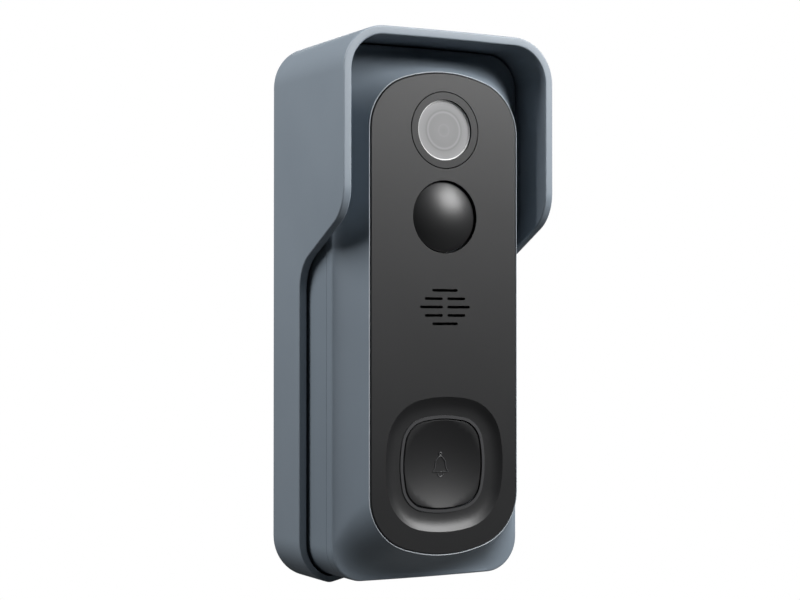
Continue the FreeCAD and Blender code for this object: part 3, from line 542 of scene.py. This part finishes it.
def upright_wire(tree, given):
    """One straight wire along Z, from -1 to 1, which each copy stretches to its own length."""
    axis = add_node(tree, "GeometryNodeCurvePrimitiveLine", (-900, -100))
    set_inputs(axis, {"Start": (0, 0, -1), "End": (0, 0, 1)})
    section = add_node(tree, "GeometryNodeCurvePrimitiveCircle", (-900, -300))
    set_inputs(section, {"Resolution": 6})
    wire = add_node(tree, "GeometryNodeCurveToMesh", (-650, -200))
    set_inputs(wire, {"Fill Caps": True})
    tree.links.new(given["Wire radius"], section.inputs["Radius"])
    tree.links.new(axis.outputs["Curve"], wire.inputs["Curve"])
    tree.links.new(section.outputs["Curve"], wire.inputs["Profile Curve"])
    return wire.outputs["Mesh"]


def chord_stretch(tree, given):
    """Half of the circle's chord at each point, as a stretch along Z."""
    where = add_node(tree, "GeometryNodeInputPosition", (-1300, -500))
    split = add_node(tree, "ShaderNodeSeparateXYZ", (-1100, -500))
    tree.links.new(where.outputs["Position"], split.inputs["Vector"])
    offset = maths(tree, "MULTIPLY", split.outputs["X"], split.outputs["X"], (-900, -500))
    square = maths(tree, "POWER", given["Radius"], 2.0, (-900, -700))
    rest = maths(tree, "SUBTRACT", square, offset, (-700, -600))
    chord = maths(tree, "SQRT", rest, None, (-500, -600))
    stretch = add_node(tree, "ShaderNodeCombineXYZ", (-300, -500))
    set_inputs(stretch, {"X": 1.0, "Y": 1.0})
    tree.links.new(chord, stretch.inputs["Z"])
    return stretch.outputs["Vector"]


# %% A Geometry Nodes tree for a round wire mesh
def wire_mesh_tree():
    tree = bpy.data.node_groups.new("round_wire_mesh", "GeometryNodeTree")
    kinds = {"Radius": "NodeSocketFloat", "Wire radius": "NodeSocketFloat",
             "Pitch": "NodeSocketFloat", "Wires": "NodeSocketInt", "Centre": "NodeSocketVector",
             "Finish": "NodeSocketMaterial"}
    sockets = {}
    for label, kind in kinds.items():
        socket = tree.interface.new_socket(name=label, in_out="INPUT", socket_type=kind)
        sockets[label] = socket.identifier
    tree.interface.new_socket(name="Geometry", in_out="OUTPUT", socket_type="NodeSocketGeometry")
    given = add_node(tree, "NodeGroupInput", (-1600, 0)).outputs
    one_way = add_node(tree, "GeometryNodeInstanceOnPoints", (0, 0))
    tree.links.new(row_of_points(tree, given), one_way.inputs["Points"])
    tree.links.new(upright_wire(tree, given), one_way.inputs["Instance"])
    tree.links.new(chord_stretch(tree, given), one_way.inputs["Scale"])
    thickness = maths(tree, "MULTIPLY", given["Wire radius"], 2.0, (-200, -250))
    behind = add_node(tree, "ShaderNodeCombineXYZ", (0, -250))
    tree.links.new(thickness, behind.inputs["Y"])
    other_way = add_node(tree, "GeometryNodeTransform", (200, -150))
    set_inputs(other_way, {"Rotation": (0, math.pi / 2, 0)})
    tree.links.new(behind.outputs["Vector"], other_way.inputs["Translation"])
    tree.links.new(one_way.outputs["Instances"], other_way.inputs["Geometry"])
    both = add_node(tree, "GeometryNodeJoinGeometry", (400, 0))
    tree.links.new(one_way.outputs["Instances"], both.inputs["Geometry"])
    tree.links.new(other_way.outputs["Geometry"], both.inputs["Geometry"])
    placed = add_node(tree, "GeometryNodeTransform", (600, 0))
    tree.links.new(both.outputs["Geometry"], placed.inputs["Geometry"])
    tree.links.new(given["Centre"], placed.inputs["Translation"])
    real = add_node(tree, "GeometryNodeRealizeInstances", (800, 0))
    paint = add_node(tree, "GeometryNodeSetMaterial", (1000, 0))
    end = add_node(tree, "NodeGroupOutput", (1200, 0))
    tree.links.new(placed.outputs["Geometry"], real.inputs["Geometry"])
    tree.links.new(real.outputs["Geometry"], paint.inputs["Geometry"])
    tree.links.new(given["Finish"], paint.inputs["Material"])
    tree.links.new(paint.outputs["Geometry"], end.inputs["Geometry"])
    return tree, sockets


mesh_nodes, mesh_input = wire_mesh_tree()
print("tree", mesh_nodes.name, "with", len(mesh_nodes.nodes), "nodes")

# %% Speaker mesh
def wire_mesh_piece():
    low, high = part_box("grille_mesh")
    wire, pitch = 0.09 * mm, 0.36 * mm
    radius = (high.x - low.x) / 2
    maker = new_object("wire_mesh_maker", bpy.data.meshes.new("wire_mesh_maker"))
    modifier = maker.modifiers.new("wires", "NODES")
    modifier.node_group = mesh_nodes
    values = {"Radius": radius - wire, "Wire radius": wire, "Pitch": pitch,
              "Wires": 2 * int((radius - 2 * wire) / pitch) + 1,
              "Centre": ((low.x + high.x) / 2, low.y + wire, (low.z + high.z) / 2),
              "Finish": finishes["mesh_metal"]}
    for label, value in values.items():
        modifier[mesh_input[label]] = value
    piece = new_object("speaker_wire_mesh", baked_mesh("speaker_wire_mesh", maker))
    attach(piece, node_body["grille_mesh"])
    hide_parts("grille_mesh")
    return piece


speaker_mesh = wire_mesh_piece()
print("speaker mesh:", len(speaker_mesh.data.polygons), "faces")

# %% [markdown]
# ## A painted highlight round the camera window
#
# A thin pale bead runs round the window where it meets its ring. Its pale colour is a painted
# highlight: it stands in for the light that the edge there catches, which from the side shows as a
# crescent. It is the same bead, on a circle.

# %% Window rim
window_low, window_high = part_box("camera_window")
window_middle = (window_low + window_high) / 2
rim_bead = 0.22 * mm
rim_inset = 0.8 * rim_bead
rim_radius = (window_high.x - window_low.x) / 2 - rim_inset
rim_steps = 96
rim_angles = [2 * math.pi * i / rim_steps for i in range(rim_steps)]
rim_path = [Vector((window_middle.x + rim_radius * math.cos(a), window_low.y,
                    window_middle.z + rim_radius * math.sin(a))) for a in rim_angles]
# Painted highlight: this pale grey stands in for light caught where the window meets its ring.
finishes["clear_resin"] = finish_of("clear_resin", (0.66, 0.66, 0.66), roughness=0.25, grain=0.2,
                                    depth=0.001)
window_highlight_rim = bead_piece("window_highlight_rim", [(rim_path, True)], rim_bead, finishes["clear_resin"],
                        "doorbell")
print("window rim:", len(window_highlight_rim.data.polygons), "faces")

# %% [markdown]
# ## The bell on the button
#
# A small outline of a bell is raised on the middle of the push button. It is a sign that any
# doorbell may carry, so we draw our own by rule: a dome that flares to a lip, a knob above and a
# clapper below. Each point is dropped onto the hollow face by casting a ray at the button's mesh.

# %% Bell outline
dome_end, lip_start = 0.45, 0.62
dome_share, slope_share, lip_share = 0.30, 0.05, 0.15


def bell_points(width, height, steps=14):
    """The bell from its top down one side and up the other. The shares make up half its width."""
    half = []
    for i in range(steps + 1):
        down = i / steps
        dome = math.sin(min(down / dome_end, 1.0) * math.pi / 2)
        lip = max(0.0, (down - lip_start) / (1 - lip_start)) ** 2
        x = width * (dome_share * dome + slope_share * down + lip_share * lip)
        half.append((x, height * (0.5 - down)))
    return half + [(-x, z) for x, z in reversed(half)]


def arc_points(radius, centre_z, start, sweep, steps=12):
    angles = [start + sweep * i / steps for i in range(steps + 1)]
    return [(radius * math.cos(a), centre_z + radius * math.sin(a)) for a in angles]


def on_button(shape):
    """Each point of the shape, moved towards the wall until it meets the button."""
    low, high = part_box("button_cap")
    middle = (low.z + high.z) / 2
    in_front, to_wall = -200 * mm, Vector((0, 1, 0))
    points = []
    for x, z in shape:
        _, point, _, _ = pieces["button_cap"].ray_cast(Vector((x, in_front, middle + z)), to_wall)
        points.append(point)
    return points


bell_wide, bell_tall, bell_bead = 4.8 * mm, 4.4 * mm, 0.17 * mm
knob_radius, clapper_radius = 0.4 * mm, 0.8 * mm
knob_z, clapper_z = bell_tall * 0.5 + knob_radius, -bell_tall * 0.6
shapes = [(bell_points(bell_wide, bell_tall), True),
          (arc_points(knob_radius, knob_z, 0, 2 * math.pi)[:-1], True),
          (arc_points(clapper_radius, clapper_z, math.pi, math.pi), False)]
bell = bead_piece("bell_icon", [(on_button(shape), closed) for shape, closed in shapes], bell_bead,
                  finishes["bezel_ring"], "button", sides=6)
print("bell icon:", len(bell.data.polygons), "faces")

# %% [markdown]
# ## Floor and light
#
# The doorbell is shown alone on white, as in a catalogue: a pale floor far below it and an empty
# white room. A white room would also light the object from every side and flatten it, so the
# room and the floor look white to the camera only, through Light Path, and give off little light
# themselves. A large soft panel stands high on the right, in front, close enough for the top of
# the face to be brighter than the bottom. A dimmer one, high on the left, lights the long side,
# and a third lights the wall side, which only shows when the doorbell is seen from behind.

# %% Floor
floor_z, floor_half = -0.62, 1.15
floor_glow = (0.8, 0.8, 0.8, 1)


def pale_floor():
    mesh = bpy.data.meshes.new("floor")
    corners = [(-1, -1), (1, -1), (1, 1), (-1, 1)]
    points = [(x * floor_half, y * floor_half, floor_z) for x, y in corners]
    mesh.from_pydata(points, [], [(0, 1, 2, 3)])
    floor = new_object("floor", mesh)
    paper = finish_of("paper_white", (0.16, 0.16, 0.16), (0.155, 0.155, 0.155), roughness=0.9,
                      depth=0.02, grain=1.0)
    tree = paper.node_tree
    shader = tree.nodes["Principled BSDF"]
    seen = add_node(tree, "ShaderNodeLightPath", (-700, 600))
    set_inputs(shader, {"Emission Color": floor_glow})
    tree.links.new(seen.outputs["Is Camera Ray"], shader.inputs["Emission Strength"])
    mesh.materials.append(paper)


pale_floor()
print("floor", 2 * floor_half, "m wide, at", floor_z, "m")


# %% Lights
def soft_panel(name, place, size, power, target=(0, -0.02, 0.0)):
    data = bpy.data.lights.new(name, "AREA")
    data.shape = "RECTANGLE"
    data.size, data.size_y = size
    data.energy = power
    light = new_object(name, data)
    light.location = place
    light.rotation_euler = (Vector(target) - Vector(place)).to_track_quat("-Z", "Y").to_euler()
    light.visible_camera = False
    print("light", name, power, "W")


soft_panel("key_right", (0.40, -0.50, 0.42), (0.50, 0.42), 11.6, target=(0, -0.03, 0.05))
soft_panel("fill_left", (-0.46, -0.02, 0.45), (0.24, 0.40), 4.9)
soft_panel("wall_side", (0.34, 0.55, 0.10), (0.40, 0.40), 2.5)

# %% A dim room, lighter above than below
dimmest_z, dim_level, bright_level = -0.3, 0.015, 0.16
room_tint, pure_white = (0.80, 0.91, 1.0, 1), (1, 1, 1, 1)
world = bpy.data.worlds.new("studio")
bpy.context.scene.world = world
world.use_nodes = True
room = world.node_tree
where = add_node(room, "ShaderNodeTexCoord", (-900, 0))
split = add_node(room, "ShaderNodeSeparateXYZ", (-700, 0))
level = add_node(room, "ShaderNodeMapRange", (-500, 0))
set_inputs(level, {"From Min": dimmest_z, "To Min": dim_level, "To Max": bright_level})
seen = add_node(room, "ShaderNodeLightPath", (-700, 300))
to_camera = seen.outputs["Is Camera Ray"]
strength = maths(room, "MAXIMUM", level.outputs["Result"], to_camera, (-250, 100))
tint = mix_colors(room, to_camera, room_tint, pure_white, (-250, 350))
room.links.new(where.outputs["Generated"], split.inputs["Vector"])
room.links.new(split.outputs["Z"], level.inputs["Value"])
room.links.new(strength, room.nodes["Background"].inputs["Strength"])
room.links.new(tint, room.nodes["Background"].inputs["Color"])
bpy.context.scene.view_settings.view_transform = "Standard"
print("room", world.name, "lit from", dim_level, "to", bright_level)
